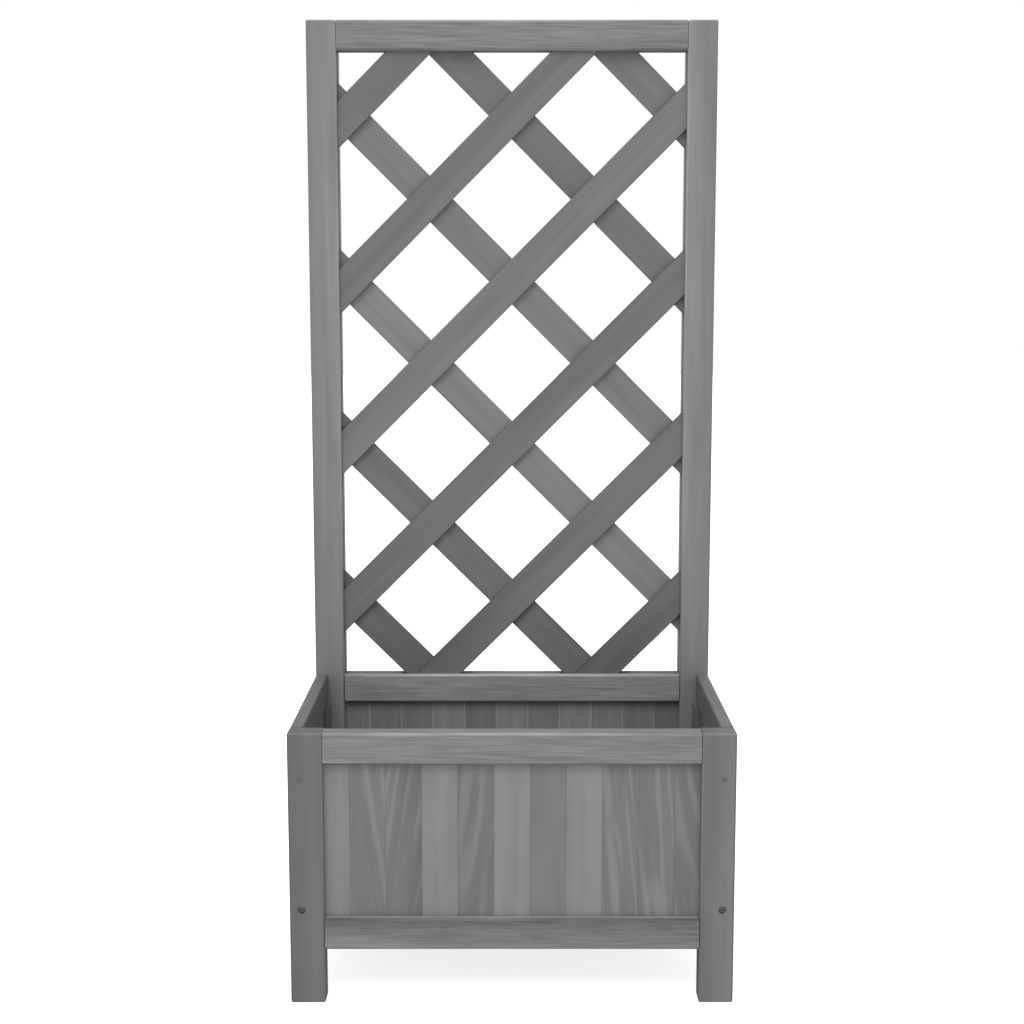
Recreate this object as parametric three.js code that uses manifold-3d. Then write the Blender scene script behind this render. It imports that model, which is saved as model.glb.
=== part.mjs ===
// A planter box on four feet with a tall lattice trellis for climbing plants behind it, in stained fir.
// Millimetres, +Z up, the front faces -Y and +X is to the viewer's right.
// The origin is on the ground, under the middle of the whole piece.

import * as THREE from 'three';
import { mergeVertices } from 'three/addons/utils/BufferGeometryUtils.js';
import Module from 'manifold-3d';

const wasm = await Module();
wasm.setup();

// The whole piece
const overallWidth = 500;
const overallDepth = 300;
const overallHeight = 1125;
const boxHeight = 314; // ground to the top edge of the planter box
const footHeight = 63; // ground to the underside of the bottom rails

// Short front legs and tall back posts
const frontLegWidth = 39; // along X
const frontLegDepth = 25; // along Y
const backPostWidth = 36.5;
const backPostDepth = 36.5;
const postEase = 1.6; // chamfer along every edge of a leg or post

// Rails of the front panel, the back panel and the head of the trellis
const railHeight = 36.5;
const railEase = 2.4; // chamfer along a rail's long edges
const railBackLip = 4.5; // wood behind the boards' groove
const railGrooveDepth = 10;
const tenonShoulder = 5; // a rail's outer edge to its stub tenon

// Boards of the front and back panels, standing in the rails' and posts' grooves
const boardCount = 11;
const boardThickness = 9;
const boardSetback = 8.5; // a rail's front face to the boards' front face
const boardGap = 0.3; // open joint between two boards
const boardEase = 0.3;
const frontGrooveDepth = 12; // how far the front panel reaches into each leg
const backGrooveDepth = 9.5; // how far the back panel and the laths reach into each post

// Side panels: two rails, and boards with a stile at each end
const sideRailHeight = 36.5;
const sideRailThickness = 15;
const sideRailInset = 0.5; // outer face, in from the posts' outer faces
const sideRailEase = 1.2;
const sideGrooveDepth = 8;
const sideBoardCount = 5;
const sideBoardThickness = 8;
const sideBoardSetback = 3.5; // a side rail's outer face to the boards' outer face
const sideJointWidth = 0.8; // groove that parts two side boards
const sideJointDepth = 1.6;
const stileWidth = 24; // along Y
const stileThickness = 19; // along X

// Lattice: two layers of laths at 45 degrees, the rising layer in front
const lathCount = 6; // in each layer
const lathWidth = 40;
const lathThickness = 6;
const latticeOverrun = 4.25; // what the row of laths takes beyond the opening's corners, at each end
const latticeRise = 8.5; // the lattice's middle above the middle of the trellis opening

// Screws that hold each leg and post to the side panels' stiles
const screwInset = 13.5; // a post's outer face to the screw's axis
const lowerScrewRise = 10; // bottom side rail's top edge to the lower screw
const upperScrewDrop = 16; // top side rail's underside to the upper screw
const screwSink = 1; // wood's face to the head's face
const screwBite = 20; // length that goes into the stile
const screwHeadDiameter = 7.6;
const screwHeadHeight = 2.6;
const screwShankDiameter = 4;
const screwTipLength = 5;
const counterboreDiameter = 8.8;
const driveWidth = 1.1; // the cross recess in a screw's head
const driveLength = 4.4;
const driveDepth = 1.4;

// Floor: a drained board on two bearers
const bearerHeight = 20;
const bearerDepth = 20;
const bearerLift = 5; // underside of the bottom rails to the underside of the bearers
const bearerEase = 1;
const floorThickness = 9;
const drainDiameter = 12;
const drainColumns = 4;
const drainRows = 2;

// Working clearance wherever one piece enters or meets another
const fit = 0.3;

// A cutter runs this far past the face that it opens
const cutOverrun = 1;

const roundSides = 20; // facets round a screw or a drilled hole

// Planes that several pieces share
const frontFace = -overallDepth / 2;
const backFace = overallDepth / 2;
const outerFace = overallWidth / 2;
const legBack = frontFace + frontLegDepth;
const postFront = backFace - backPostDepth;
const legInner = outerFace - frontLegWidth;
const postInner = outerFace - backPostWidth;
const railThickness = boardSetback + boardThickness + railBackLip;
const bottomRailTop = footHeight + railHeight;
const topRailBottom = boxHeight - railHeight;
const headRailBottom = overallHeight - railHeight;
const boardBottom = bottomRailTop - railGrooveDepth;
const boardTop = topRailBottom + railGrooveDepth;
const latticeBottom = boxHeight - railGrooveDepth;
const latticeTop = headRailBottom + railGrooveDepth;
const sideOuter = outerFace - sideRailInset;
const stileInner = sideOuter - stileThickness;
const screwX = outerFace - screwInset;

const part = new THREE.Group();

// Grey stain on fir: matt, each piece a little lighter or darker than the next.
function stainedFir(shade) {
  return new THREE.MeshStandardMaterial({
    color: new THREE.Color(shade, shade, shade).convertSRGBToLinear(),
    roughness: 0.75,
    metalness: 0,
  });
}

function darkenedSteel() {
  return new THREE.MeshStandardMaterial({ color: 0x4a4a4c, roughness: 0.45, metalness: 1 });
}

function addPiece(name, geometry, material) {
  const mesh = new THREE.Mesh(geometry, material);
  mesh.name = name;
  part.add(mesh);
}

function solidOf(geometry) {
  const bare = geometry.clone();
  bare.deleteAttribute('normal');
  bare.deleteAttribute('uv');
  const merged = mergeVertices(bare, 1e-4);
  const vertProperties = new Float32Array(merged.attributes.position.array);
  const triVerts = new Uint32Array(merged.index.array);
  return new wasm.Manifold(new wasm.Mesh({ numProp: 3, vertProperties, triVerts }));
}

function geometryOf(solid) {
  const { vertProperties, triVerts } = solid.getMesh();
  const geometry = new THREE.BufferGeometry();
  geometry.setAttribute('position', new THREE.BufferAttribute(vertProperties, 3));
  geometry.setIndex(new THREE.BufferAttribute(triVerts, 1));
  return geometry;
}

// The base with the additions joined on and then the cuts taken out.
function shaped(base, additions, cuts) {
  let solid = solidOf(base);
  for (const addition of additions) {
    solid = solid.add(solidOf(addition));
  }
  for (const cut of cuts) {
    solid = solid.subtract(solidOf(cut));
  }
  return geometryOf(solid);
}

// A block between two values on each axis, which may come in either order.
function block([xa, xb], [ya, yb], [za, zb]) {
  const geometry = new THREE.BoxGeometry(Math.abs(xb - xa), Math.abs(yb - ya), Math.abs(zb - za));
  return geometry.translate((xa + xb) / 2, (ya + yb) / 2, (za + zb) / 2);
}

const across = new THREE.Vector3(1, 0, 0);
const back = new THREE.Vector3(0, 1, 0);
const up = new THREE.Vector3(0, 0, 1);

// For each way a bar can run: its outline's two axes, then its length's axis.
const barBases = {
  x: [back, up, across],
  y: [up, across, back],
  z: [across, back, up],
};

// A straight bar between two corners, with its long edges eased, and its ends too where endEase says so.
function bar(spanX, spanY, spanZ, run, ease, endEase = 0) {
  const spans = { x: spanX, y: spanY, z: spanZ };
  const order = { x: 'yzx', y: 'zxy', z: 'xyz' }[run];
  const [size, middle] = [[], []];
  for (const axis of order) {
    const [a, b] = spans[axis];
    size.push(Math.abs(b - a));
    middle.push((a + b) / 2);
  }
  const [u, v] = [size[0] / 2, size[1] / 2];
  const outline = new THREE.Shape([
    new THREE.Vector2(u, ease - v),
    new THREE.Vector2(u, v - ease),
    new THREE.Vector2(u - ease, v),
    new THREE.Vector2(ease - u, v),
    new THREE.Vector2(-u, v - ease),
    new THREE.Vector2(-u, ease - v),
    new THREE.Vector2(ease - u, -v),
    new THREE.Vector2(u - ease, -v),
  ]);
  const geometry = new THREE.ExtrudeGeometry(outline, {
    depth: size[2] - 2 * endEase,
    bevelEnabled: endEase > 0,
    bevelThickness: endEase,
    bevelSize: endEase,
    bevelOffset: -endEase,
    bevelSegments: 1,
  });
  geometry.translate(middle[0], middle[1], middle[2] - size[2] / 2 + endEase);
  return geometry.applyMatrix4(new THREE.Matrix4().makeBasis(...barBases[run]));
}

// A drilled hole or a round rod along Y.
function rod(diameter, x, [ya, yb], z) {
  const radius = diameter / 2;
  const geometry = new THREE.CylinderGeometry(radius, radius, Math.abs(yb - ya), roundSides);
  return geometry.translate(x, (ya + yb) / 2, z);
}

// Screws ----------------------------------------------------------------------------------------

// One screw along +Y from the face of its head at zero, with a cross recess in the head.
function screw(length) {
  const headRadius = screwHeadDiameter / 2;
  const shankRadius = screwShankDiameter / 2;
  const profile = [
    new THREE.Vector2(0, 0),
    new THREE.Vector2(headRadius, 0),
    new THREE.Vector2(headRadius, screwHeadHeight),
    new THREE.Vector2(shankRadius, screwHeadHeight),
    new THREE.Vector2(shankRadius, length - screwTipLength),
    new THREE.Vector2(0, length),
  ];
  const arm = driveLength / 2;
  const halfWidth = driveWidth / 2;
  const recess = [
    block([-arm, arm], [-driveDepth, driveDepth], [-halfWidth, halfWidth]),
    block([-halfWidth, halfWidth], [-driveDepth, driveDepth], [-arm, arm]),
  ];
  return shaped(new THREE.LatheGeometry(profile, roundSides), [], recess);
}

// The counterbore and clearance hole of one screw, from a post's outside face inwards.
function screwHole(side, face, inwards, depth, height) {
  const floor = face + inwards * (screwSink + screwHeadHeight + fit);
  return [
    rod(counterboreDiameter, side * screwX, [face - inwards * fit, floor], height),
    rod(screwShankDiameter + 2 * fit, side * screwX, [face, face + inwards * depth], height),
  ];
}

const sides = { left: -1, right: 1 };
const heights = {
  lower: footHeight + sideRailHeight + lowerScrewRise,
  upper: boxHeight - sideRailHeight - upperScrewDrop,
};
const frontScrewLength = frontLegDepth - screwSink + screwBite;
const backScrewLength = backPostDepth - screwSink + screwBite;

function addScrews() {
  for (const [sideName, side] of Object.entries(sides)) {
    for (const [heightName, height] of Object.entries(heights)) {
      const front = screw(frontScrewLength).translate(side * screwX, frontFace + screwSink, height);
      addPiece(`front_screw_${sideName}_${heightName}`, front, darkenedSteel());
      const rear = screw(backScrewLength).rotateZ(Math.PI);
      rear.translate(side * screwX, backFace - screwSink, height);
      addPiece(`back_screw_${sideName}_${heightName}`, rear, darkenedSteel());
    }
  }
}

// Posts -----------------------------------------------------------------------------------------

// Front and back of the groove that holds a panel's boards, behind the panel's front face.
function boardGroove(face) {
  return [face + boardSetback - fit, face + boardSetback + boardThickness + fit];
}

// The laths' groove ends on the same plane as the boards' groove and is wide enough for both layers.
const lathBack = postFront + boardSetback + boardThickness;
const lathFront = lathBack - 2 * lathThickness;
const lathGroove = [lathFront - fit, lathBack + fit];

function addFrontLegs() {
  for (const [sideName, side] of Object.entries(sides)) {
    const leg = bar([side * outerFace, side * legInner], [frontFace, legBack], [0, boxHeight], 'z',
      postEase, postEase);
    const grooveX = [side * (legInner - fit), side * (legInner + frontGrooveDepth)];
    const grooveZ = [footHeight + tenonShoulder, boxHeight - tenonShoulder];
    const cuts = [block(grooveX, boardGroove(frontFace), grooveZ)];
    for (const height of Object.values(heights)) {
      cuts.push(...screwHole(side, frontFace, 1, frontLegDepth + fit, height));
    }
    addPiece(`front_leg_${sideName}`, shaped(leg, [], cuts), stainedFir(0.46));
  }
}

function addBackPosts() {
  for (const [sideName, side] of Object.entries(sides)) {
    const post = bar([side * outerFace, side * postInner], [postFront, backFace], [0, overallHeight],
      'z', postEase, postEase);
    const grooveX = [side * (postInner - fit), side * (postInner + backGrooveDepth)];
    const cuts = [
      block(grooveX, boardGroove(postFront), [footHeight + tenonShoulder, latticeBottom + fit]),
      block(grooveX, lathGroove, [latticeBottom, overallHeight - tenonShoulder]),
    ];
    for (const height of Object.values(heights)) {
      cuts.push(...screwHole(side, backFace, -1, backPostDepth + fit, height));
    }
    addPiece(`back_post_${sideName}`, shaped(post, [], cuts), stainedFir(0.52));
  }
}

// Rails of the front and back panels ------------------------------------------------------------

// A rail between two posts with a stub tenon at each end. The tenons fill the groove they enter, and
// each groove runs the whole length of the rail's edge.
function panelRail(halfOpening, reach, face, [bottom, top], tenonY, tenonZ, grooves) {
  const shoulder = halfOpening - fit;
  const body = bar([-shoulder, shoulder], [face, face + railThickness], [bottom, top], 'x', railEase);
  const tenonEnd = halfOpening + reach - fit;
  const tenon = block([-tenonEnd, tenonEnd], [tenonY[0] + fit, tenonY[1] - fit], tenonZ);
  const cuts = grooves.map(({ y, z }) => block([-tenonEnd - fit, tenonEnd + fit], y, z));
  return shaped(body, [tenon], cuts);
}

function addPanelRails() {
  const panels = [
    { name: 'front', half: legInner, reach: frontGrooveDepth, face: frontFace, shade: 0.53 },
    { name: 'back', half: postInner, reach: backGrooveDepth, face: postFront, shade: 0.46 },
  ];
  for (const { name, half, reach, face, shade } of panels) {
    const groove = boardGroove(face);
    const bottomRail = panelRail(half, reach, face, [footHeight, bottomRailTop], groove,
      [footHeight + tenonShoulder + fit, bottomRailTop],
      [{ y: groove, z: [boardBottom, bottomRailTop + cutOverrun] }]);
    addPiece(`${name}_bottom_rail`, bottomRail, stainedFir(shade));

    const isBack = name === 'back';
    const tenonTop = isBack ? latticeBottom : boxHeight - tenonShoulder - fit;
    const topGrooves = [{ y: groove, z: [topRailBottom - cutOverrun, boardTop] }];
    if (isBack) {
      topGrooves.push({ y: lathGroove, z: [latticeBottom, boxHeight + cutOverrun] });
    }
    const topRail = panelRail(half, reach, face, [topRailBottom, boxHeight], groove,
      [boardTop - fit, tenonTop], topGrooves);
    addPiece(`${name}_top_rail`, topRail, stainedFir(shade));
  }
  const headRail = panelRail(postInner, backGrooveDepth, postFront, [headRailBottom, overallHeight],
    lathGroove, [headRailBottom + railEase, overallHeight - tenonShoulder - fit],
    [{ y: lathGroove, z: [headRailBottom - cutOverrun, latticeTop] }]);
  addPiece('trellis_top_rail', headRail, stainedFir(0.52));
}

// Boards of the front and back panels -----------------------------------------------------------

function addBoards(name, halfOpening, reach, face, shades) {
  const halfPanel = halfOpening + reach - fit;
  const boardWidth = (2 * halfPanel - (boardCount - 1) * boardGap) / boardCount;
  const spanY = [face + boardSetback, face + boardSetback + boardThickness];
  const spanZ = [boardBottom + fit, boardTop - fit];
  for (let i = 0; i < boardCount; i += 1) {
    const left = i * (boardWidth + boardGap) - halfPanel;
    const board = bar([left, left + boardWidth], spanY, spanZ, 'z', boardEase);
    const number = String(i + 1).padStart(2, '0');
    addPiece(`${name}_board_${number}`, board, stainedFir(shades[i % shades.length]));
  }
}

// Side panels -----------------------------------------------------------------------------------

const sideBoardOuter = sideOuter - sideBoardSetback;
const sideBoardInner = sideBoardOuter - sideBoardThickness;
const sideRun = [legBack + fit, postFront - fit];

function addSideRails() {
  const groove = [sideBoardOuter + fit, sideBoardInner - fit];
  const grooveY = [sideRun[0] - cutOverrun, sideRun[1] + cutOverrun];
  const lowerZ = [footHeight, footHeight + sideRailHeight];
  const upperZ = [boxHeight - sideRailHeight, boxHeight];
  const rails = [
    { name: 'bottom', z: lowerZ, grooveZ: [lowerZ[1] - sideGrooveDepth, lowerZ[1] + fit] },
    { name: 'top', z: upperZ, grooveZ: [upperZ[0] - fit, upperZ[0] + sideGrooveDepth] },
  ];
  for (const [sideName, side] of Object.entries(sides)) {
    const spanX = [side * sideOuter, side * (sideOuter - sideRailThickness)];
    for (const { name, z, grooveZ } of rails) {
      const grooveCut = block(groove.map((x) => side * x), grooveY, grooveZ);
      const rail = shaped(bar(spanX, sideRun, z, 'y', sideRailEase), [], [grooveCut]);
      addPiece(`side_${name}_rail_${sideName}`, rail, stainedFir(0.47));
    }
  }
}

// The boards of one side, tongued into one sheet, between a stile at the leg and one at the post.
function addSidePanels() {
  const lowerEdge = footHeight + sideRailHeight;
  const upperEdge = boxHeight - sideRailHeight;
  const boardZ = [lowerEdge - sideGrooveDepth + fit, upperEdge + sideGrooveDepth - fit];
  const stileZ = [lowerEdge + fit, upperEdge - fit];
  const [start, end] = [sideRun[0] + stileWidth, sideRun[1] - stileWidth];
  const boardWidth = (end - start) / sideBoardCount;
  for (const [sideName, side] of Object.entries(sides)) {
    const sheet = block([side * sideBoardOuter, side * sideBoardInner], sideRun, boardZ);
    const stileX = [side * sideOuter, side * stileInner];
    const stiles = [
      bar(stileX, [sideRun[0], start], stileZ, 'z', sideRailEase),
      bar(stileX, [end, sideRun[1]], stileZ, 'z', sideRailEase),
    ];
    const cuts = [];
    for (let i = 1; i < sideBoardCount; i += 1) {
      const middle = start + i * boardWidth;
      const jointY = [middle - sideJointWidth / 2, middle + sideJointWidth / 2];
      const jointZ = [boardZ[0] - cutOverrun, boardZ[1] + cutOverrun];
      const outerX = [side * (sideBoardOuter - sideJointDepth), side * (sideBoardOuter + cutOverrun)];
      const innerX = [side * (sideBoardInner + sideJointDepth), side * (sideBoardInner - cutOverrun)];
      cuts.push(block(outerX, jointY, jointZ), block(innerX, jointY, jointZ));
    }
    const pilot = screwShankDiameter + 2 * fit;
    const frontPilotY = [sideRun[0] - cutOverrun, legBack + screwBite + fit];
    const backPilotY = [sideRun[1] + cutOverrun, postFront - screwBite - fit];
    for (const height of Object.values(heights)) {
      cuts.push(rod(pilot, side * screwX, frontPilotY, height));
      cuts.push(rod(pilot, side * screwX, backPilotY, height));
    }
    addPiece(`side_panel_${sideName}`, shaped(sheet, stiles, cuts), stainedFir(0.44));
  }
}

// Lattice ---------------------------------------------------------------------------------------

// The part of a convex outline on one side of a line: points where normal . point <= limit.
function clipOutline(outline, normal, limit) {
  const kept = [];
  outline.forEach((point, i) => {
    const next = outline[(i + 1) % outline.length];
    const [here, there] = [normal.dot(point) - limit, normal.dot(next) - limit];
    if (here <= 0) {
      kept.push(point);
    }
    if (here * there < 0) {
      kept.push(point.clone().lerp(next, here / (here - there)));
    }
  });
  return kept;
}

// The laths of one layer, spread evenly over the trellis opening. slope is 1 where they rise to the
// right and -1 where they fall. Each is a strip at 45 degrees, cut off square to the frame at the
// bottom of the grooves.
function addLaths(name, slope, [front, rear], shades) {
  const halfRegion = postInner + backGrooveDepth - fit;
  const region = [
    new THREE.Vector2(-halfRegion, latticeBottom + fit),
    new THREE.Vector2(halfRegion, latticeBottom + fit),
    new THREE.Vector2(halfRegion, latticeTop - fit),
    new THREE.Vector2(-halfRegion, latticeTop - fit),
  ];
  const square = new THREE.Vector2(-slope, 1).normalize();
  const centre = (boxHeight + headRailBottom) / 2 + latticeRise;
  const openingRun = headRailBottom - boxHeight + 2 * postInner;
  const stepUp = (openingRun + 2 * latticeOverrun) / lathCount;
  for (let i = 0; i < lathCount; i += 1) {
    const middle = square.y * (centre + (i - (lathCount - 1) / 2) * stepUp);
    let outline = clipOutline(region, square, middle + lathWidth / 2);
    outline = clipOutline(outline, square.clone().negate(), lathWidth / 2 - middle);
    const lath = new THREE.ExtrudeGeometry(new THREE.Shape(outline), {
      depth: rear - front,
      bevelEnabled: false,
    });
    lath.rotateX(Math.PI / 2).translate(0, rear, 0);
    addPiece(`${name}_lath_${i + 1}`, lath, stainedFir(shades[i % shades.length]));
  }
}

// Floor -----------------------------------------------------------------------------------------

function addFloor() {
  const bearerZ = [footHeight + bearerLift, footHeight + bearerLift + bearerHeight];
  const bearerX = [fit - legInner, legInner - fit];
  const frontStart = frontFace + railThickness + fit;
  const backStart = postFront - fit;
  const frontBearer = bar(bearerX, [frontStart, frontStart + bearerDepth], bearerZ, 'x', bearerEase);
  const backBearer = bar(bearerX, [backStart - bearerDepth, backStart], bearerZ, 'x', bearerEase);
  addPiece('floor_bearer_front', frontBearer, stainedFir(0.44));
  addPiece('floor_bearer_back', backBearer, stainedFir(0.44));

  const floorX = [fit - stileInner, stileInner - fit];
  const floorY = [legBack + fit, postFront - fit];
  const floorZ = [bearerZ[1] + fit, bearerZ[1] + fit + floorThickness];
  const drains = [];
  for (let column = 0; column < drainColumns; column += 1) {
    for (let row = 0; row < drainRows; row += 1) {
      const x = floorX[0] + ((column + 0.5) / drainColumns) * (floorX[1] - floorX[0]);
      const y = floorY[0] + ((row + 1) / (drainRows + 1)) * (floorY[1] - floorY[0]);
      const radius = drainDiameter / 2;
      const length = floorThickness + 2 * cutOverrun;
      const drain = new THREE.CylinderGeometry(radius, radius, length, roundSides);
      drains.push(drain.rotateX(Math.PI / 2).translate(x, y, (floorZ[0] + floorZ[1]) / 2));
    }
  }
  addPiece('floor_board', shaped(block(floorX, floorY, floorZ), [], drains), stainedFir(0.44));
}

// Assembly --------------------------------------------------------------------------------------

addFrontLegs();
addBackPosts();
addPanelRails();
addBoards('front', legInner, frontGrooveDepth, frontFace,
  [0.53, 0.49, 0.46, 0.53, 0.47, 0.55, 0.5, 0.55, 0.49, 0.5, 0.46]);
addBoards('back', postInner, backGrooveDepth, postFront, [0.46, 0.44, 0.46, 0.48, 0.44]);
addSideRails();
addSidePanels();
addLaths('rising', 1, [lathFront, lathFront + lathThickness - fit / 2], [0.44, 0.47, 0.45]);
addLaths('falling', -1, [lathBack - lathThickness + fit / 2, lathBack], [0.42, 0.45, 0.47]);
addScrews();
addFloor();

export default part;
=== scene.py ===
import math
import random

import bmesh
import bpy
from mathutils import Matrix, Vector


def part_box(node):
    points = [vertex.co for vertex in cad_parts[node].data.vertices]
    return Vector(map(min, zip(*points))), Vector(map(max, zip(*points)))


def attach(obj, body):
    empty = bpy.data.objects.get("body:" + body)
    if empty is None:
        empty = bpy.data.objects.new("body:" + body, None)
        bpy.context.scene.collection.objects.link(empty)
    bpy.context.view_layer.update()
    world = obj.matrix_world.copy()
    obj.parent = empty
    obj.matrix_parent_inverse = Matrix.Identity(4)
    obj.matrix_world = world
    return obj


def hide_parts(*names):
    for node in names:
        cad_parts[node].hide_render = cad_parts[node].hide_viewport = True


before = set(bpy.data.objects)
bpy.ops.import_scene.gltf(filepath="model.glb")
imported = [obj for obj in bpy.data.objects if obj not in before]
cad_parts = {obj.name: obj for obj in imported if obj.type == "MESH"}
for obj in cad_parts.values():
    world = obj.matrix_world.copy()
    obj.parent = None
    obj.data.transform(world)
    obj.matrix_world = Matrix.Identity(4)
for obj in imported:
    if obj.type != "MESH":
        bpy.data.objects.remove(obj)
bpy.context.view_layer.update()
scene = bpy.context.scene
mm = 0.001

# The photograph's view: from just above the middle of the trellis, tilted a little down at the box.
photoView = {
    "place": (0, -1.84, 0.81),
    "tiltDown": 7.23,  # degrees
    "lens": 55.2,
    "shiftUp": -0.03,
}


def placeCamera():
    data = bpy.data.cameras.new("photoCamera")
    data.lens = photoView["lens"]
    data.shift_y = photoView["shiftUp"]
    camera = bpy.data.objects.new("photoCamera", data)
    camera.location = photoView["place"]
    camera.rotation_euler = (math.radians(90 - photoView["tiltDown"]), 0, 0)
    scene.collection.objects.link(camera)
    scene.camera = camera


placeCamera()
print("stage: camera")


# Adds one node. Its inputs are values, sockets, or nodes whose first output is meant. The rest are its
# settings.
def addNode(tree, kind, inputs=None, **settings):
    node = tree.nodes.new(kind)
    for name, value in settings.items():
        setattr(node, name, value)
    for key, value in (inputs or {}).items():
        if isinstance(value, bpy.types.Node):
            value = value.outputs[0]
        if isinstance(value, bpy.types.NodeSocket):
            tree.links.new(value, node.inputs[key])
        else:
            node.inputs[key].default_value = value
    return node


# An sRGB hex colour as the linear values that Blender works in.
def linear(hexColour):
    channels = [int(hexColour[i:i + 2], 16) / 255 for i in (1, 3, 5)]
    return [c / 12.92 if c <= 0.04045 else ((c + 0.055) / 1.055) ** 2.4 for c in channels] + [1]


def newMaterial(name):
    material = bpy.data.materials.new(name)
    material.use_nodes = True
    material.node_tree.nodes.clear()
    return material


studio = {
    "floorColour": "#f0f0f0",
    "floorRoughness": 0.9,
    "floorLift": 0.74,  # light that only the camera sees on the floor, so that it reads as white paper
    "floorHalf": 12,  # metres
    "skyLight": 0.65,  # on the object; to the camera and in reflections the sky is plain white
    "keyHeight": 56,  # degrees above the horizon
    "keyAside": -9,  # degrees to the right of straight in front
    "keySpread": 30,  # degrees across, which makes its shadows soft
    "keyStrength": 1.28,
}


def layFloor():
    half = studio["floorHalf"]
    mesh = bpy.data.meshes.new("studioFloor")
    corners = [(-half, -half, 0), (half, -half, 0), (half, half, 0), (-half, half, 0)]
    mesh.from_pydata(corners, [], [(0, 1, 2, 3)])
    floor = bpy.data.objects.new("studioFloor", mesh)
    scene.collection.objects.link(floor)
    material = newMaterial("mattWhitePaper")
    tree = material.node_tree
    ray = addNode(tree, "ShaderNodeLightPath")
    lift = addNode(tree, "ShaderNodeMath", {0: ray.outputs["Is Camera Ray"], 1: studio["floorLift"]},
                   operation="MULTIPLY")
    paper = addNode(tree, "ShaderNodeBsdfPrincipled", {
        "Base Color": linear(studio["floorColour"]),
        "Roughness": studio["floorRoughness"],
        "Emission Color": (1, 1, 1, 1),
        "Emission Strength": lift,
    })
    addNode(tree, "ShaderNodeOutputMaterial", {"Surface": paper})
    mesh.materials.append(material)


def lightStudio():
    world = bpy.data.worlds.new("studioWorld")
    world.use_nodes = True
    tree = world.node_tree
    tree.nodes.clear()
    ray = addNode(tree, "ShaderNodeLightPath")
    seen = addNode(tree, "ShaderNodeMath", {
        0: ray.outputs["Is Camera Ray"],
        1: ray.outputs["Is Glossy Ray"],
    }, operation="MAXIMUM")
    shown = addNode(tree, "ShaderNodeMath", {0: seen, 1: ray.outputs["Is Transmission Ray"]},
                    operation="MAXIMUM")
    level = addNode(tree, "ShaderNodeMapRange", {
        "Value": shown, "To Min": studio["skyLight"], "To Max": 1.0,
    })
    sky = addNode(tree, "ShaderNodeBackground", {"Color": (1, 1, 1, 1), "Strength": level})
    addNode(tree, "ShaderNodeOutputWorld", {"Surface": sky})
    scene.world = world

    key = bpy.data.lights.new("keyLight", "SUN")
    key.angle = math.radians(studio["keySpread"])
    key.energy = studio["keyStrength"]
    lamp = bpy.data.objects.new("keyLight", key)
    lamp.rotation_euler = (math.radians(90 - studio["keyHeight"]), 0, math.radians(studio["keyAside"]))
    scene.collection.objects.link(lamp)


layFloor()
lightStudio()
scene.view_settings.view_transform = "Standard"
print("stage: floor and light")

# Planed fir under a grey semi-matt stain, put on with a brush: the stain fills the pores, lies in broad
# bands where the brush left more or less of it, and lets the year rings show as pale streaks. Lengths
# are in mm and depths are shares of light.
firStain = {
    "colour": "#7f7f7f",
    "roughness": 0.6,
    "roughnessSpread": 0.08,
    "ringSpacing": 9.0,  # between pale streaks
    "ringWander": 2.5,  # how far a ring strays from round
    "wanderWidth": 22.0,
    "wanderLength": 120.0,
    "ringPale": 0.34,  # how much paler a streak is where the figure is strong
    "patchWidth": 24.0,  # patches in which the streaks fade and the stain lies a little darker
    "patchLength": 130.0,
    "patchDepth": 0.12,
    "patchFrom": 0.36,  # the noise below which the streaks are faded
    "patchTo": 0.56,  # and above which they are whole
    "patchLeast": 0.1,  # what is left of a faded streak
    "fibreWidth": 1.8,  # real pores are finer and wouldn't show
    "fibreLength": 55.0,
    "fibreDepth": 0.6,
    "bandWidth": 11.0,
    "bandLength": 260.0,
    "bandDepth": 0.16,
    "noiseRoughness": 0.55,
    "relief": 0.25 * mm,
    "reliefStrength": 0.5,
}
noiseSpread = 0.25  # a noise strays about this far from its middle of 0.5


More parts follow.
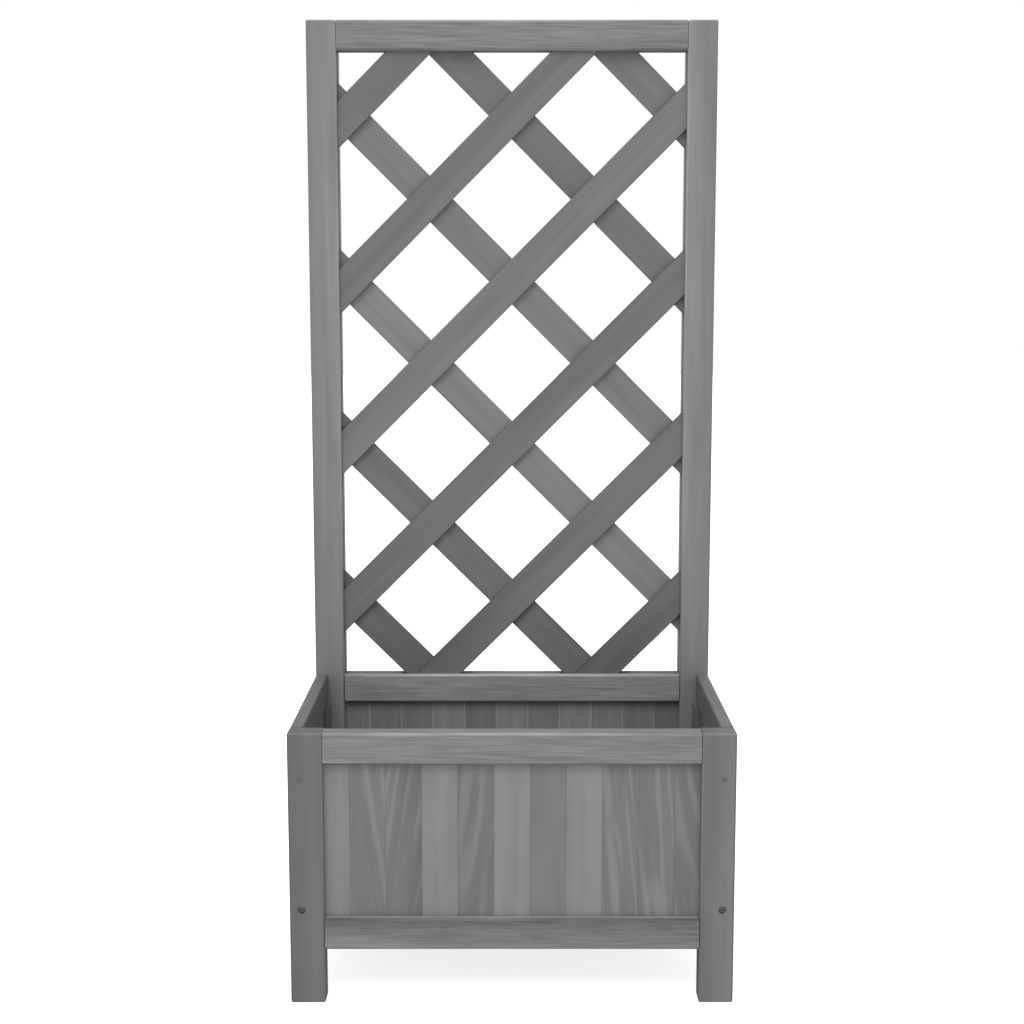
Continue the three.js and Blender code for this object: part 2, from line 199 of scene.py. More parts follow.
def makeFirStain():
    material = newMaterial("greyStainedFir")
    tree = material.node_tree
    sized = firStain
    grain = addNode(tree, "ShaderNodeAttribute", attribute_name="grain").outputs["Vector"]
    tone = addNode(tree, "ShaderNodeAttribute", attribute_name="tone").outputs["Fac"]
    figure = addNode(tree, "ShaderNodeAttribute", attribute_name="figure").outputs["Fac"]
    fibre = addNode(tree, "ShaderNodeAttribute", attribute_name="fibre").outputs["Fac"]
    brush = addNode(tree, "ShaderNodeAttribute", attribute_name="brush").outputs["Fac"]
    stainAndPaintedLight = addNode(tree, "ShaderNodeAttribute", attribute_name="stainAndPaintedLight").outputs["Fac"]

    # Noise that is stretched along the grain, by the mm that one of its blots takes.
    def addGrainNoise(width, length, detail):
        stretched = addNode(tree, "ShaderNodeVectorMath", {0: grain, 1: (1 / width, 1 / width, 1 / length)},
                            operation="MULTIPLY")
        return addNode(tree, "ShaderNodeTexNoise", {
            "Vector": stretched, "Scale": 1.0, "Detail": detail, "Roughness": sized["noiseRoughness"],
        })

    # Year rings: distance from the pith, which runs along the third axis of the grain's own frame.
    wander = addGrainNoise(sized["wanderWidth"], sized["wanderLength"], 2.0)
    flat = addNode(tree, "ShaderNodeVectorMath", {0: grain, 1: (1, 1, 0)}, operation="MULTIPLY")
    distance = addNode(tree, "ShaderNodeVectorMath", {0: flat}, operation="LENGTH").outputs["Value"]
    strayed = addNode(tree, "ShaderNodeMath", {
        0: wander,
        1: sized["ringWander"] / noiseSpread,
        2: distance,
    }, operation="MULTIPLY_ADD")
    turns = addNode(tree, "ShaderNodeMath", {0: strayed, 1: math.tau / sized["ringSpacing"]},
                    operation="MULTIPLY")
    wave = addNode(tree, "ShaderNodeMath", {0: turns}, operation="SINE")
    streak = addNode(tree, "ShaderNodeMapRange", {"Value": wave}, interpolation_type="SMOOTHSTEP")
    patchNoise = addGrainNoise(sized["patchWidth"], sized["patchLength"], 1.0)
    fade = addNode(tree, "ShaderNodeMapRange", {
        "Value": patchNoise, "From Min": sized["patchFrom"], "From Max": sized["patchTo"],
        "To Min": sized["patchLeast"], "To Max": 1.0,
    }, interpolation_type="SMOOTHSTEP")
    shown = addNode(tree, "ShaderNodeMath", {0: streak, 1: fade}, operation="MULTIPLY")
    ringPart = addNode(tree, "ShaderNodeMath", {0: shown, 1: figure}, operation="MULTIPLY")

    # Fine streaks along the grain, and broad bands from the brush.
    fibreNoise = addGrainNoise(sized["fibreWidth"], sized["fibreLength"], 3.0)
    fibreOff = addNode(tree, "ShaderNodeMath", {0: fibreNoise, 1: 0.5}, operation="SUBTRACT")
    fibrePart = addNode(tree, "ShaderNodeMath", {0: fibreOff, 1: fibre}, operation="MULTIPLY")
    bandNoise = addGrainNoise(sized["bandWidth"], sized["bandLength"], 1.5)
    bandOff = addNode(tree, "ShaderNodeMath", {0: bandNoise, 1: 0.5}, operation="SUBTRACT")
    bandPart = addNode(tree, "ShaderNodeMath", {0: bandOff, 1: brush}, operation="MULTIPLY")

    # How light the stain lies: all of these together, times the stick's tone; then painted highlights and
    # shade on its eased edges and up-facing faces, and its darker end grain. A noise reaches half either
    # way of its middle, so its depth counts twice.
    light = addNode(tree, "ShaderNodeMath", {0: ringPart, 1: sized["ringPale"], 2: 1.0},
                    operation="MULTIPLY_ADD")
    light = addNode(tree, "ShaderNodeMath", {0: fibrePart, 1: sized["fibreDepth"] * 2, 2: light},
                    operation="MULTIPLY_ADD")
    light = addNode(tree, "ShaderNodeMath", {0: bandPart, 1: sized["bandDepth"] * 2, 2: light},
                    operation="MULTIPLY_ADD")
    patchOff = addNode(tree, "ShaderNodeMath", {0: patchNoise, 1: 0.5}, operation="SUBTRACT")
    light = addNode(tree, "ShaderNodeMath", {0: patchOff, 1: sized["patchDepth"] * 2, 2: light},
                    operation="MULTIPLY_ADD")
    light = addNode(tree, "ShaderNodeMath", {0: light, 1: tone}, operation="MULTIPLY")
    # Painted highlights and shade on eased edges and up-facing faces, and the darker end grain, come in
    # here.
    light = addNode(tree, "ShaderNodeMath", {0: light, 1: stainAndPaintedLight, 2: light}, operation="MULTIPLY_ADD")
    colour = addNode(tree, "ShaderNodeVectorMath", {0: linear(sized["colour"])[:3], "Scale": light},
                     operation="SCALE")

    height = addNode(tree, "ShaderNodeMath", {0: fibreNoise, 1: ringPart}, operation="ADD")
    bump = addNode(tree, "ShaderNodeBump", {
        "Strength": sized["reliefStrength"], "Distance": sized["relief"], "Height": height,
    })
    rough = addNode(tree, "ShaderNodeMapRange", {
        "Value": fibreNoise,
        "To Min": sized["roughness"] + sized["roughnessSpread"],
        "To Max": sized["roughness"] - sized["roughnessSpread"],
    })
    wood = addNode(tree, "ShaderNodeBsdfPrincipled", {
        "Base Color": colour, "Roughness": rough, "Normal": bump,
    })
    addNode(tree, "ShaderNodeOutputMaterial", {"Surface": wood})
    return material


# Steel screws dulled by a dark phosphate coat, whose grit makes them look grey and slightly grainy.
screwSteel = {
    "colour": "#6c6c6d",
    "grit": 0.4 * mm,
    "gritTones": (0.75, 1.2),  # against the colour, from the coat's dark grit to its bright grit
    "gritRoughness": (0.73, 0.48),
}


def makeScrewSteel():
    material = newMaterial("phosphatedSteel")
    tree = material.node_tree
    place = addNode(tree, "ShaderNodeTexCoord").outputs["Object"]
    grit = addNode(tree, "ShaderNodeTexNoise", {
        "Vector": place, "Scale": 1 / screwSteel["grit"], "Detail": 2.0,
    })
    low, high = screwSteel["gritTones"]
    tone = addNode(tree, "ShaderNodeMapRange", {"Value": grit, "To Min": low, "To Max": high})
    colour = addNode(tree, "ShaderNodeVectorMath", {
        0: linear(screwSteel["colour"])[:3], "Scale": tone,
    }, operation="SCALE")
    low, high = screwSteel["gritRoughness"]
    rough = addNode(tree, "ShaderNodeMapRange", {"Value": grit, "To Min": low, "To Max": high})
    steel = addNode(tree, "ShaderNodeBsdfPrincipled", {
        "Base Color": colour, "Metallic": 1.0, "Roughness": rough,
    })
    addNode(tree, "ShaderNodeOutputMaterial", {"Surface": steel})
    return material


fir = makeFirStain()
steel = makeScrewSteel()
print("stage: materials")

# For each way a piece can run: across its face, through its thickness, along its grain.
diagonal = math.sqrt(0.5)
runs = {
    "x": (Vector((0, 0, 1)), Vector((0, 1, 0)), Vector((1, 0, 0))),
    "y": (Vector((0, 0, 1)), Vector((1, 0, 0)), Vector((0, 1, 0))),
    "z": (Vector((1, 0, 0)), Vector((0, 1, 0)), Vector((0, 0, 1))),
    "zSide": (Vector((0, 1, 0)), Vector((1, 0, 0)), Vector((0, 0, 1))),
    "rising": (Vector((-diagonal, 0, diagonal)), Vector((0, 1, 0)), Vector((diagonal, 0, diagonal))),
    "falling": (Vector((diagonal, 0, diagonal)), Vector((0, 1, 0)), Vector((diagonal, 0, -diagonal))),
}
flatFace = 0.97  # a face this square to one axis isn't an eased edge
endSoak = 0.12  # share of light that end grain loses
# Share of light that an eased edge loses for each 1 of its look's edge value: painted shade, partly stain
# soaked in.
edgeShadeShare = 0.10  # and an eased edge whose look says that it is soaked by 1
outerFace = 0.01  # least product of a face's normal and its stick's x, in metres, if it looks outwards
slopeRun = 36  # mm across a stick over which its tone gains its slope

# Where in a log a stick can be cut, in mm, and how far its grain can lean away, in mm for each mm.
logCuts = {
    "pithAcross": (-14, 14),
    "pithThrough": (24, 46),
    "leanSpread": (0.7, 1.3),
    "leanThrough": (-0.02, 0.02),
    "along": (0, 4000),
}


def cutFromLog(chance, lean):
    return {
        "pithAcross": chance.uniform(*logCuts["pithAcross"]),
        "pithThrough": chance.uniform(*logCuts["pithThrough"]),
        "leanAcross": lean * chance.uniform(*logCuts["leanSpread"]),
        "leanThrough": chance.uniform(*logCuts["leanThrough"]),
        "along": chance.uniform(*logCuts["along"]),
    }


# Keeps one list of values on a mesh, for the material to read.
def keepOnMesh(mesh, name, kind, domain, values):
    attribute = mesh.attributes.new(name, kind, domain)
    attribute.data.foreach_set("vector" if kind == "FLOAT_VECTOR" else "value", values)


# Gives each stick of a mesh its own grain, tone and figure, and paints highlights and shade onto its eased
# edges and up-facing faces. middles are the sticks' middles, and a point belongs to the stick whose middle
# is nearest across the grain.
def giveGrain(piece, run, middles, looks, seed):
    across, through, along = runs[run]
    mesh = piece.data
    chance = random.Random(seed)
    cuts = [cutFromLog(chance, look["lean"]) for look in looks]
    grain = []
    tones = []
    owners = []
    for vertex in mesh.vertices:
        gaps = [abs((vertex.co - middle).dot(across)) for middle in middles]
        i = gaps.index(min(gaps))
        owners.append(i)
        cut = cuts[i]
        place = (vertex.co - middles[i]) / mm
        length = place.dot(along)
        tones.append(looks[i]["tone"] * (1 + looks[i]["slope"] * place.dot(across) / slopeRun))
        close = looks[i]["close"]
        grain.append(close * (place.dot(across) + cut["pithAcross"] + cut["leanAcross"] * length))
        grain.append(close * (place.dot(through) + cut["pithThrough"] + cut["leanThrough"] * length))
        grain.append(length + cut["along"])
    keepOnMesh(mesh, "grain", "FLOAT_VECTOR", "POINT", grain)
    keepOnMesh(mesh, "tone", "FLOAT", "POINT", tones)
    for name in ("figure", "fibre", "brush"):
        keepOnMesh(mesh, name, "FLOAT", "POINT", [looks[i][name] for i in owners])
    # Painted light and shade, face by face: up-facing eased edges get a painted highlight, every eased edge
    # gets painted shade that is partly stain soaked in (painted light below 0), outward-facing eased edges
    # get more painted shade, and up-facing flat faces get painted light. End grain is darker from the stain
    # it soaks up.
    stainAndPaintedLight = []
    for face in mesh.polygons:
        i = owners[face.vertices[0]]
        stick = looks[i]
        shares = [abs(face.normal.dot(axis)) for axis in (across, through, along)]
        eased = max(shares) < flatFace
        if eased:
            outer = face.normal.x * middles[i].x > outerFace
            soaked = stick["soaked"] + (stick["outline"] if outer else 0)
            stainAndPaintedLight.append(stick["upEdgeHighlight"] * max(0, face.normal.z) - soaked * edgeShadeShare)
        elif shares[2] == max(shares):
            stainAndPaintedLight.append(-endSoak)
        else:
            stainAndPaintedLight.append(stick["upFaceLight"] * max(0, face.normal.z))
        face.use_smooth = eased
    keepOnMesh(mesh, "stainAndPaintedLight", "FLOAT", "FACE", stainAndPaintedLight)


# What every finished piece of timber says to the frame.
def seat(piece, nodes):
    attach(piece, "root")
    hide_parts(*nodes)


def middleOf(nodes):
    corners = [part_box(node) for node in nodes]
    low = Vector([min(c[0][k] for c in corners) for k in range(3)])
    high = Vector([max(c[1][k] for c in corners) for k in range(3)])
    return (low + high) / 2


plainLook = {
    "tone": 1.0,  # against the stain's own colour
    "slope": 0.0,  # share of it that is gained across slopeRun
    "figure": 0.0,  # how strongly the year rings show
    "close": 1.0,  # how narrow they are
    "lean": 0.008,  # how far they slant across the stick
    "fibre": 0.5,  # how strongly the fine streaks show
    "brush": 1.0,  # and the broad bands
    # Painted highlight: how much paler an eased edge that faces up is painted, as if lit from above.
    "upEdgeHighlight": 0.0,  # how much paler an eased edge is that faces up
    # Painted light: how much paler a flat face that faces up is painted, as if lit from above.
    "upFaceLight": 0.0,  # how much paler a flat face is that faces up
    # Painted shade along every eased edge, partly stain soaked into it; below 0 it is painted light
    # instead.
    "soaked": 0.0,  # how much darker every eased edge is, or paler below 0
    # More painted shade along eased edges that face outwards.
    "outline": 0.0,  # how much darker still where it faces away from the planter's middle
}


def look(tone, **more):
    return {**plainLook, "tone": tone, **more}


# Posts, legs, rails, bearers and the floor keep the CAD's joints; their eased edges are rounded over.
# Their ends are eased a little too, which leaves a dark line where two of them meet: a faint one where
# a rail meets a post edge to edge, and a plain one at the side rails' ends.
rounding = {"segments": 3, "share": 0.42, "leastAngle": 30, "mostAngle": 60, "leastLength": 9 * mm}
flatAngle = 0.5  # degrees between faces that are one flat face
samePlace = 0.01 * mm
endEase = {"x": 0.12 * mm, "y": 1.3 * mm, "z": 0.35 * mm}  # for each way a stick runs


def roundedCopy(name, node, run):
    along = runs[run][2]
    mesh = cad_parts[node].data.copy()
    mesh.name = name
    mesh.materials.clear()
    mesh.materials.append(fir)
    for attribute in [a.name for a in mesh.attributes if not a.is_internal and not a.is_required]:
        mesh.attributes.remove(mesh.attributes[attribute])
    form = bmesh.new()
    form.from_mesh(mesh)
    bmesh.ops.remove_doubles(form, verts=form.verts, dist=samePlace)
    bmesh.ops.dissolve_limit(form, angle_limit=math.radians(flatAngle), verts=form.verts,
                             edges=form.edges)
    places = [vertex.co.dot(along) for vertex in form.verts]
    ends = (min(places), max(places))
    endEdges = []
    for edge in form.edges:
        reach = [vertex.co.dot(along) for vertex in edge.verts]
        if any(abs(reach[0] - end) < samePlace and abs(reach[1] - end) < samePlace for end in ends):
            endEdges.append(edge)
    bmesh.ops.bevel(form, geom=endEdges, offset=endEase[run], segments=1, profile=0.5, affect="EDGES",
                    clamp_overlap=True)
    eased = []
    for edge in form.edges:
        turn = math.degrees(edge.calc_face_angle(0))
        if rounding["leastAngle"] < turn < rounding["mostAngle"]:
            if edge.calc_length() > rounding["leastLength"]:
                eased.append(edge)
    if eased:
        widths = [min(f.calc_perimeter() / 2 - e.calc_length() for f in e.link_faces) for e in eased]
        width = min(widths) * rounding["share"]
        bmesh.ops.bevel(form, geom=eased, offset=width, segments=rounding["segments"], profile=0.5,
                        affect="EDGES", clamp_overlap=True)
    form.to_mesh(mesh)
    form.free()
    piece = bpy.data.objects.new(name, mesh)
    scene.collection.objects.link(piece)
    return piece


# Legs and posts get painted light along their eased edges, to lift the shade there, and painted shade along
# their outer edges.
legLook = {"fibre": 0.08, "soaked": -2.5, "outline": 6.0}
postLook = {"figure": 0.1, "fibre": 0.12, "brush": 1.3, "soaked": -2.0, "outline": 3.0}
# Rails get a painted highlight on their up-facing eased edges.
railLook = {"figure": 0.3, "fibre": 1.0, "upEdgeHighlight": 0.65}
# The front top rail's eased edges are painted darker, which paints the shadow line under the rail, and its
# top edge gets a stronger painted highlight.
frontRailLook = {**railLook, "upEdgeHighlight": 1.0, "soaked": 2.5}
# The bottom rail's flat top is painted light, as if lit from above, and the rail is darker towards its top.
lowRailLook = {**railLook, "upEdgeHighlight": 0.15, "slope": -0.62, "upFaceLight": 1.5}
# Side rails get painted shade along their eased edges, which darkens their ends and outer edges.
sideLook = {"figure": 0.2, "fibre": 0.5, "soaked": 2.5, "outline": 1.5}
floorLook = {"figure": 0.3, "fibre": 0.8, "soaked": 1.0}

# name: (node, run, slot, look)
sticks = {
    "frontLegLeft": ("front_leg_left", "z", "post", look(0.68, slope=0.06, **legLook)),
    "frontLegRight": ("front_leg_right", "z", "post", look(0.79, slope=0.34, **legLook)),
    "backPostLeft": ("back_post_left", "z", "post", look(1.07, slope=0.18, **postLook)),
    "backPostRight": ("back_post_right", "z", "post", look(1.08, slope=-0.18, **postLook)),
    "frontTopRail": ("front_top_rail", "x", "rail", look(0.98, **frontRailLook)),
    "frontBottomRail": ("front_bottom_rail", "x", "rail", look(0.785, **lowRailLook)),
    "backTopRail": ("back_top_rail", "x", "rail", look(1.27, slope=0.08, **railLook)),
    "backBottomRail": ("back_bottom_rail", "x", "rail", look(0.92, **railLook)),
    "trellisTopRail": ("trellis_top_rail", "x", "rail", look(0.98, slope=0.08, **railLook)),
    "sideTopRailLeft": ("side_top_rail_left", "y", "rail", look(0.68, **sideLook)),
    "sideTopRailRight": ("side_top_rail_right", "y", "rail", look(0.72, **sideLook)),
    "sideBottomRailLeft": ("side_bottom_rail_left", "y", "rail", look(0.78, **sideLook)),
    "sideBottomRailRight": ("side_bottom_rail_right", "y", "rail", look(0.8, **sideLook)),
    "floorBearerFront": ("floor_bearer_front", "x", "floor", look(0.9, **floorLook)),
    "floorBearerBack": ("floor_bearer_back", "x", "floor", look(0.9, **floorLook)),
    "floorBoard": ("floor_board", "x", "floor", look(0.9, **floorLook)),
}

for name, (node, run, slot, stickLook) in sticks.items():
    stick = roundedCopy(name, node, run)
    giveGrain(stick, run, [middleOf([node])], [stickLook], name)
    seat(stick, [node])
print("stage: posts and rails")

# The upper screws are filled over and stained, so that each is a faint dark patch on its post.
filler = {"sides": 32, "radius": 4.38 * mm, "thickness": 0.8 * mm, "behindFace": 0.04 * mm}


# The disc takes its post's own grain and tone. Its middle is darkest times as light.
def fillScrewHole(name, stickName, screwNode, outwards, darkest):
    node, run, slot, stickLook = sticks[stickName]
    hole = middleOf([screwNode])
    low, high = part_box(node)
    face = high.y if outwards > 0 else low.y
    depth = face - outwards * (filler["behindFace"] + filler["thickness"] / 2)
    form = bmesh.new()
    place = Matrix.Translation((hole.x, depth, hole.z)) @ Matrix.Rotation(math.pi / 2, 4, "X")
    bmesh.ops.create_cone(form, cap_ends=True, cap_tris=True, segments=filler["sides"],
                          radius1=filler["radius"], radius2=filler["radius"],
                          depth=filler["thickness"], matrix=place)
    mesh = bpy.data.meshes.new(name)
    form.to_mesh(mesh)
    form.free()
    mesh.materials.append(fir)
    disc = bpy.data.objects.new(name, mesh)
    scene.collection.objects.link(disc)
    giveGrain(disc, run, [middleOf([node])], [stickLook], stickName)
    for vertex, tone in zip(mesh.vertices, mesh.attributes["tone"].data):
        if math.hypot(vertex.co.x - hole.x, vertex.co.z - hole.z) < filler["radius"] / 2:
            tone.value *= darkest
    seat(disc, [])


fillScrewHole("frontFillerLeft", "frontLegLeft", "front_screw_left_upper", -1, 0.72)
fillScrewHole("frontFillerRight", "frontLegRight", "front_screw_right_upper", -1, 0.48)
fillScrewHole("backFillerLeft", "backPostLeft", "back_screw_left_upper", 1, 0.65)
fillScrewHole("backFillerRight", "backPostRight", "back_screw_right_upper", 1, 0.65)
print("stage: filled screw holes")

easeSteps = 3  # round each long edge of a board or lath


# Boards, stiles and laths are rows of equal eased bars. A trimmed row is cut off square at the four
# sides of its opening, as the laths are inside their grooves.
def makeRowTree(name, trimmed):
    tree = bpy.data.node_groups.new(name, "GeometryNodeTree")
    sizes = {
        "Count": "Int", "First": "Vector", "Step": "Vector", "Turn": "Vector", "Length": "Float",
        "Width": "Float", "Thickness": "Float", "Ease": "Float", "Finish": "Material",
    }
    if trimmed:
        sizes.update({"Opening Middle": "Vector", "Opening Size": "Vector"})
    for label, kind in sizes.items():
        tree.interface.new_socket(label, in_out="INPUT", socket_type="NodeSocket" + kind)
    tree.interface.new_socket("Geometry", in_out="OUTPUT", socket_type="NodeSocketGeometry")
    given = addNode(tree, "NodeGroupInput").outputs

    halfLength = addNode(tree, "ShaderNodeMath", {0: given["Length"], 1: 0.5}, operation="MULTIPLY")
    end = addNode(tree, "ShaderNodeCombineXYZ", {"X": halfLength})
    start = addNode(tree, "ShaderNodeVectorMath", {0: end, 1: (-1, -1, -1)}, operation="MULTIPLY")
    spine = addNode(tree, "GeometryNodeCurvePrimitiveLine", {"Start": start, "End": end})
    section = addNode(tree, "GeometryNodeCurvePrimitiveQuadrilateral", {
        "Width": given["Width"], "Height": given["Thickness"],
    })
    eased = addNode(tree, "GeometryNodeFilletCurve", {
        "Curve": section, "Count": easeSteps, "Radius": given["Ease"],
    }, mode="POLY")
    bar = addNode(tree, "GeometryNodeCurveToMesh", {
        "Curve": spine, "Profile Curve": eased, "Fill Caps": True,
    })
    places = addNode(tree, "GeometryNodeMeshLine", {
        "Count": given["Count"], "Start Location": given["First"], "Offset": given["Step"],
    })
    row = addNode(tree, "GeometryNodeInstanceOnPoints", {
        "Points": places, "Instance": bar, "Rotation": given["Turn"],
    })
    made = addNode(tree, "GeometryNodeRealizeInstances", {"Geometry": row})
    if trimmed:
        block = addNode(tree, "GeometryNodeMeshCube", {"Size": given["Opening Size"]})
        opening = addNode(tree, "GeometryNodeTransform", {
            "Geometry": block, "Translation": given["Opening Middle"],
        })
        both = addNode(tree, "GeometryNodeMeshBoolean", {"Mesh 2": made}, operation="INTERSECT",
                       solver="EXACT")
        tree.links.new(opening.outputs[0], both.inputs["Mesh 2"])
        made = both
    finished = addNode(tree, "GeometryNodeSetMaterial", {"Geometry": made, "Material": given["Finish"]})
    addNode(tree, "NodeGroupOutput", {"Geometry": finished})
    return tree


# Runs a tree with its named inputs set, and keeps what it makes as a plain mesh.
def grow(name, tree, values):
    piece = bpy.data.objects.new(name, bpy.data.meshes.new(name))
    scene.collection.objects.link(piece)
    modifier = piece.modifiers.new("grown", "NODES")
    modifier.node_group = tree
    for socket in tree.interface.items_tree:
        if socket.in_out == "INPUT":
            modifier[socket.identifier] = values[socket.name]
    bpy.context.view_layer.update()
    depsgraph = bpy.context.evaluated_depsgraph_get()
    mesh = bpy.data.meshes.new_from_object(piece.evaluated_get(depsgraph), depsgraph=depsgraph)
    piece.modifiers.remove(modifier)
    mesh.name = name
    piece.data = mesh
    return piece


# The turn that lays a bar along the grain, with its width across it.
def turnOf(run):
    across, through, along = runs[run]
    side = through if along.cross(across).dot(through) > 0 else -through
    return Matrix((along, across, side)).transposed().to_euler()


# Boards of the front and back panels, and of each side between its two stiles. They stand edge to edge.
boards = {"ease": 0.25 * mm, "backEase": 0.7 * mm, "stileEase": 1.4 * mm, "joint": 0.08 * mm}
smooth = {"fibre": 0.06}
streaky = {"fibre": 0.15, "figure": 0.8}
frontLooks = [
    look(1.10, **smooth),
    look(0.82, lean=0.13, **streaky),
    look(0.75, lean=-0.17, slope=-0.22, **streaky),
    look(1.08, **smooth),
    look(0.75, lean=-0.12, **streaky),
    look(1.17, **smooth),
    look(0.90, **smooth),
    look(1.17, **smooth),
    look(0.83, lean=0.08, close=1.4, **streaky),
    look(0.81, lean=0.10, close=1.2, **streaky),
    look(0.75, lean=0.16, **streaky),
]
# The back boards are chamfered along their joints, and the chamfers are painted pale: painted light that
# stands in for the light showing through the joints.
backTones = (1.05, 0.99, 0.98, 1.24, 0.98, 1.26, 1.06, 1.26, 1.05, 0.94, 0.80)
backLooks = [look(tone, figure=0.3, fibre=0.2, soaked=-8.0) for tone in backTones]
plainTree = makeRowTree("boardRow", False)
trimmedTree = makeRowTree("lathRow", True)


# A row of sticks from where it starts: first is the middle of the first one.
def growRow(name, run, first, step, size, ease, looks, seed, opening=None):
    width, thickness, length = size
    values = {
        "Count": len(looks), "First": first, "Step": step, "Turn": turnOf(run), "Length": length,
        "Width": width, "Thickness": thickness, "Ease": ease, "Finish": fir,
    }
    if opening:
        low, high = opening
        values.update({"Opening Middle": (low + high) / 2, "Opening Size": high - low})
    row = grow(name, trimmedTree if opening else plainTree, values)
    giveGrain(row, run, [first + step * i for i in range(len(looks))], looks, seed)
    return row


def buildPanelBoards(name, prefix, ease, looks, seed):
    nodes = [f"{prefix}_board_{i + 1:02d}" for i in range(len(looks))]
    low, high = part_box(nodes[0])
    step = middleOf(nodes[1:2]) - middleOf(nodes[:1])
    size = (step.x - boards["joint"], high.y - low.y, high.z - low.z)
    row = growRow(name, "z", (low + high) / 2, step, size, ease, looks, seed)
    seat(row, nodes)


buildPanelBoards("frontBoards", "front", boards["ease"], frontLooks, 21)
buildPanelBoards("backBoards", "back", boards["backEase"], backLooks, 22)
print("stage: front and back boards")

# Five boards between two stiles. The setback is from the panel's outer face to the boards'.
sideBoards = {
    "count": 5, "tones": [0.84, 0.94, 1.04], "mostFigure": 0.8, "lean": 0.06, "fibre": 0.2,
    "boardThickness": 8 * mm, "setback": 3.5 * mm,
    "stileWidth": 24 * mm, "stileThickness": 19 * mm, "stileTone": 0.78,
}


def buildSidePanel(side, name, seed):
    node = f"side_panel_{name.lower()}"
    low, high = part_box(node)
    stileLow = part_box(f"side_bottom_rail_{name.lower()}")[1].z
    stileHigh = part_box(f"side_top_rail_{name.lower()}")[0].z
    outer = high.x if side > 0 else -low.x
    width = sideBoards["stileWidth"]
    run = high.y - low.y - 2 * width
    pitch = run / sideBoards["count"]
    chance = random.Random(seed)
    looks = []
    for _ in range(sideBoards["count"]):
        tone = chance.choice(sideBoards["tones"])
        figure = chance.random() * sideBoards["mostFigure"]
        looks.append(look(tone, figure=figure, lean=sideBoards["lean"], fibre=sideBoards["fibre"]))
    middle = side * (outer - sideBoards["setback"] - sideBoards["boardThickness"] / 2)
    first = Vector((middle, low.y + width + pitch / 2, (low.z + high.z) / 2))
    size = (pitch - boards["joint"], sideBoards["boardThickness"], high.z - low.z)
    row = growRow(f"sideBoards{name}", "zSide", first, Vector((0, pitch, 0)), size, boards["ease"],
                  looks, seed)
    seat(row, [node])
    stileMiddle = side * (outer - sideBoards["stileThickness"] / 2)
    first = Vector((stileMiddle, low.y + width / 2, (stileLow + stileHigh) / 2))
    size = (width, sideBoards["stileThickness"], stileHigh - stileLow)
    stiles = growRow(f"sideStiles{name}", "zSide", first, Vector((0, high.y - low.y - width, 0)), size,
                     boards["stileEase"], [look(sideBoards["stileTone"], **sideLook)] * 2, seed + 1)
    seat(stiles, [node])


buildSidePanel(-1, "Left", 31)
buildSidePanel(1, "Right", 33)
print("stage: side panels")

# The lattice: six laths a layer, the rising ones in front.
laths = {
    "count": 6,
    "width": 40 * mm,
    "ease": 0.8 * mm,
    "spare": 1.4,  # a lath's length before it is trimmed, against the lattice's height
}


def buildLaths(name, run, looks, seed):
    nodes = [f"{run}_lath_{i + 1}" for i in range(laths["count"])]
    boxes = [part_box(node) for node in nodes]
    low = Vector([min(b[0][k] for b in boxes) for k in range(3)])
    high = Vector([max(b[1][k] for b in boxes) for k in range(3)])
    rise = 1 if run == "rising" else -1
    middles = []
    for node in nodes:
        corners = [v.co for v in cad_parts[node].data.vertices]
        heights = [c.z - rise * c.x for c in corners]
        middles.append((min(heights) + max(heights)) / 2)
    step = (middles[-1] - middles[0]) / (laths["count"] - 1)
    depth = (low.y + high.y) / 2
    first = Vector((0, depth, middles[0]))
    size = (laths["width"], high.y - low.y, (high.z - low.z) * laths["spare"])
    beyond = Vector((0, laths["width"], 0))
    row = growRow(name, run, first, Vector((0, 0, step)), size, laths["ease"], looks, seed,
                  (low - beyond, high + beyond))
    seat(row, nodes)


# Laths get painted shade along their eased edges, which outlines them.
lathLook = {"fibre": 0.08, "brush": 1.2, "figure": 0.12, "soaked": 2.0}
rising = [look(tone, slope=-0.08, **lathLook) for tone in (0.68, 0.79, 0.73, 0.84, 0.77, 0.71)]
falling = [look(tone, **lathLook) for tone in (0.67, 0.74, 1.0, 0.88, 0.73, 0.78)]
buildLaths("risingLaths", "rising", rising, 41)
buildLaths("fallingLaths", "falling", falling, 42)
print("stage: lattice")

# Countersunk screws with a cross recess. The crown in the middle of the head stands proud of its rim.
screws = {
    "sides": 32, "crownRadius": 2.3 * mm, "headRadius": 3.8 * mm, "shankRadius": 2.0 * mm,
    "crownHeight": 0.55 * mm, "headHeight": 2.6 * mm, "tipLength": 5 * mm, "tipRadius": 0.2 * mm,
    "driveLength": 3.0 * mm, "driveWidth": 0.7 * mm, "driveDepth": 1.2 * mm,
}


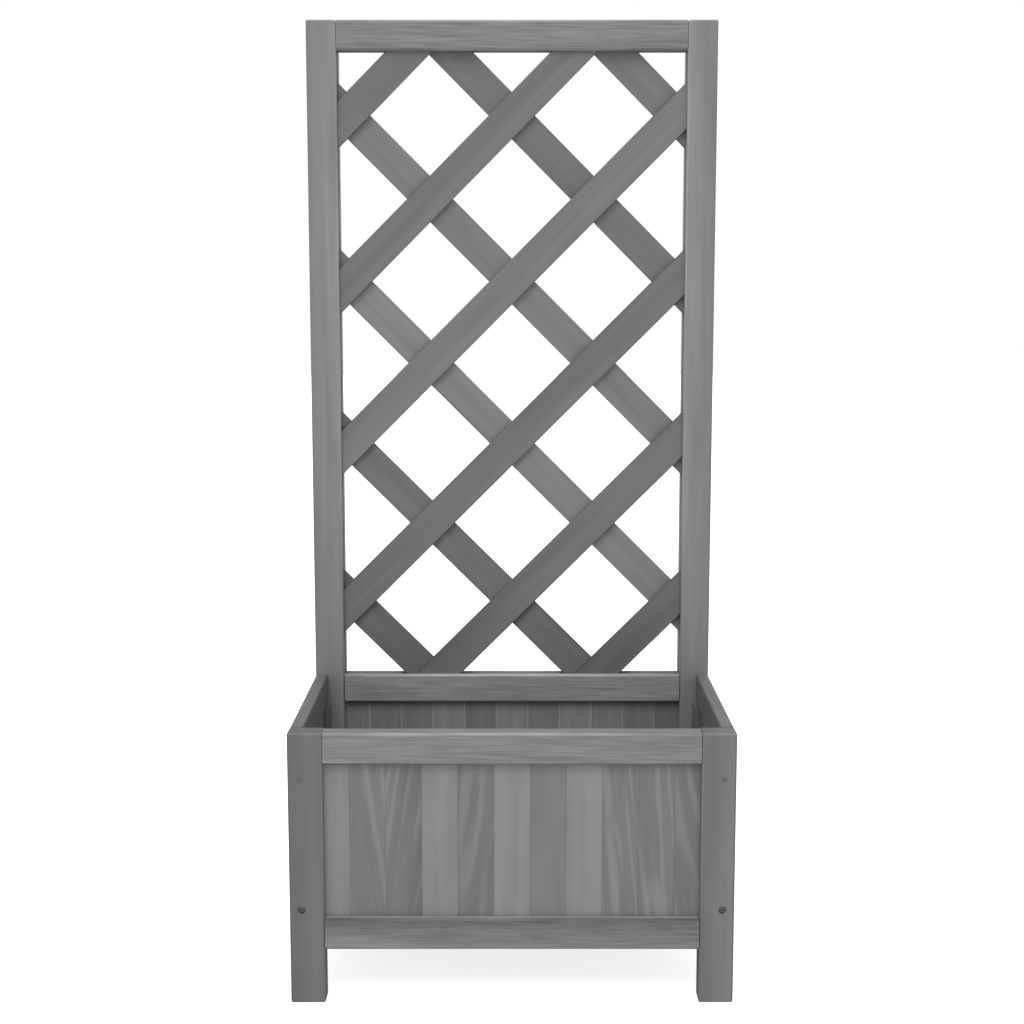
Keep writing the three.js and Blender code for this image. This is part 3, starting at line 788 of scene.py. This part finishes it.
# Two rows of screws, two to a row, each with its cross turned its own way.
def makeScrewTree():
    tree = bpy.data.node_groups.new("screwGroup", "GeometryNodeTree")
    sizes = {
        "Middle": "Vector", "Turn": "Vector", "Apart": "Float", "Above": "Float", "Length": "Float",
        "Seed": "Int", "Finish": "Material",
    }
    for label, kind in sizes.items():
        tree.interface.new_socket(label, in_out="INPUT", socket_type="NodeSocket" + kind)
    tree.interface.new_socket("Geometry", in_out="OUTPUT", socket_type="NodeSocketGeometry")
    given = addNode(tree, "NodeGroupInput").outputs
    sized = screws

    # A round stretch of the screw, which points down from the top of its head at height 0.
    def addStretch(lowEnd, length, topRadius, lowRadius):
        cone = addNode(tree, "GeometryNodeMeshCone", {
            "Vertices": sized["sides"], "Radius Top": topRadius, "Radius Bottom": lowRadius,
            "Depth": length,
        })
        place = addNode(tree, "ShaderNodeCombineXYZ", {"Z": lowEnd})
        return addNode(tree, "GeometryNodeTransform", {
            "Geometry": cone.outputs["Mesh"], "Translation": place,
        })

    crown = addStretch(-sized["crownHeight"], sized["crownHeight"], sized["crownRadius"],
                       sized["headRadius"])
    rim = addStretch(-sized["headHeight"], sized["headHeight"] - sized["crownHeight"],
                     sized["headRadius"], sized["shankRadius"])
    shankEnd = addNode(tree, "ShaderNodeMath", {0: sized["tipLength"], 1: given["Length"]},
                       operation="SUBTRACT")
    shankLength = addNode(tree, "ShaderNodeMath", {0: shankEnd, 1: -1, 2: -sized["crownHeight"]},
                          operation="MULTIPLY_ADD")
    shank = addStretch(shankEnd, shankLength, sized["shankRadius"], sized["shankRadius"])
    tipEnd = addNode(tree, "ShaderNodeMath", {0: given["Length"], 1: -1}, operation="MULTIPLY")
    tip = addStretch(tipEnd, sized["tipLength"], sized["shankRadius"], sized["tipRadius"])
    body = addNode(tree, "GeometryNodeMeshBoolean", {"Mesh 2": crown}, operation="UNION",
                   solver="EXACT")
    for stretch in (rim, shank, tip):
        tree.links.new(stretch.outputs[0], body.inputs["Mesh 2"])
    drive = (sized["driveLength"], sized["driveWidth"], 2 * sized["driveDepth"])
    slotAcross = addNode(tree, "GeometryNodeMeshCube", {"Size": drive})
    slotAlong = addNode(tree, "GeometryNodeMeshCube", {"Size": (drive[1], drive[0], drive[2])})
    cut = addNode(tree, "GeometryNodeMeshBoolean", {"Mesh 1": body, "Mesh 2": slotAcross},
                  operation="DIFFERENCE", solver="EXACT")
    tree.links.new(slotAlong.outputs[0], cut.inputs["Mesh 2"])

    grid = addNode(tree, "GeometryNodeMeshGrid", {
        "Size X": given["Apart"], "Size Y": given["Above"], "Vertices X": 2, "Vertices Y": 2,
    })
    places = addNode(tree, "GeometryNodeTransform", {
        "Geometry": grid.outputs["Mesh"], "Translation": given["Middle"],
        "Rotation": (math.pi / 2, 0, 0),
    })
    roll = addNode(tree, "FunctionNodeRandomValue", {"Seed": given["Seed"], 3: math.pi / 2},
                   data_type="FLOAT")
    rolled = addNode(tree, "ShaderNodeCombineXYZ", {"Y": roll.outputs[1]})
    turn = addNode(tree, "ShaderNodeVectorMath", {0: given["Turn"], 1: rolled}, operation="ADD")
    group = addNode(tree, "GeometryNodeInstanceOnPoints", {
        "Points": places, "Instance": cut, "Rotation": turn,
    })
    made = addNode(tree, "GeometryNodeRealizeInstances", {"Geometry": group})
    finished = addNode(tree, "GeometryNodeSetMaterial", {"Geometry": made, "Material": given["Finish"]})
    addNode(tree, "NodeGroupOutput", {"Geometry": finished})
    return tree


screwTree = makeScrewTree()


# The four screws in the front legs or in the back posts. outwards is 1 where their heads face the back.
def buildScrews(face, outwards, seed):
    nodes = [f"{face}_screw_{side}_{level}" for side in ("left", "right") for level in ("lower", "upper")]
    first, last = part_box(nodes[0]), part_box(nodes[3])
    low, high = middleOf(nodes[:1]), middleOf(nodes[3:])
    headPlane = first[1].y if outwards > 0 else first[0].y
    values = {
        "Middle": Vector((0, headPlane, (low.z + high.z) / 2)),
        "Turn": Vector((-outwards * math.pi / 2, 0, 0)),
        "Apart": high.x - low.x, "Above": high.z - low.z, "Length": last[1].y - last[0].y,
        "Seed": seed, "Finish": steel,
    }
    group = grow(f"{face}Screws", screwTree, values)
    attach(group, "root")
    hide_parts(*nodes)


buildScrews("front", -1, 51)
buildScrews("back", 1, 52)
print("stage: screws")
